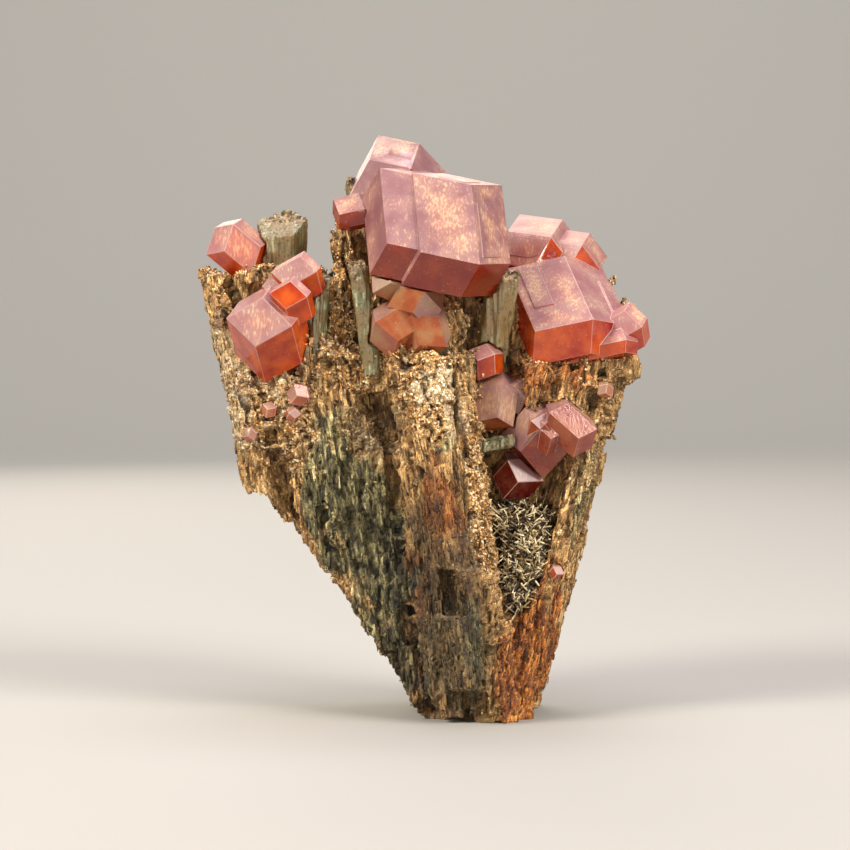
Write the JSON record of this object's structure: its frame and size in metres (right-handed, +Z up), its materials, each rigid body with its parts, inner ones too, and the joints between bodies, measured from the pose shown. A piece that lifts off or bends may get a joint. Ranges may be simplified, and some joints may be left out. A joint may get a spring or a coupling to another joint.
{
  "type": "garnet crystals in rock matrix",
  "caption": "Mineral specimen of red-orange rhombic dodecahedral garnet crystals on a tapering fan of fibrous tan rock, standing on a flat broken foot.",
  "frame": {"origin": "middle of the flat broken foot that the specimen stands on", "axes": "+Z up, along the rock's fibres and through the foot; +X to the right as seen from the front; -Y towards the front, the side with the large garnets and the pocket"},
  "size_m": [0.054, 0.0337, 0.0691],
  "materials": {
    "garnet": "orange-red garnet, translucent, glossy faces with fine striations",
    "prism": "grey-green prism, satin, with sandy broken ends",
    "rock": "tan to brown fibrous and sugary rock, rough",
    "needles": "cream-olive needle crust, satin"
  },
  "bodies": {
    "root": {"matrix": "rock", "needle_crust": "needles", "garnet_left_top": "garnet", "garnet_left_cluster": "garnet", "garnet_centre_cluster": "garnet", "garnet_centre_lower": "garnet", "garnet_right_cluster": "garnet", "garnet_pocket_left": "garnet", "garnet_pocket_right": "garnet", "garnet_pocket_low": "garnet", "garnet_pocket_top": "garnet", "garnet_small_1": "garnet", "garnet_small_2": "garnet", "garnet_small_3": "garnet", "garnet_small_4": "garnet", "garnet_small_5": "garnet", "garnet_small_6": "garnet", "prism_left_stub": "prism", "prism_left_slender": "prism", "prism_centre_slender": "prism", "prism_right_thick": "prism", "prism_back_stub": "prism", "prism_bar": "prism"}
  },
  "joints": []
}
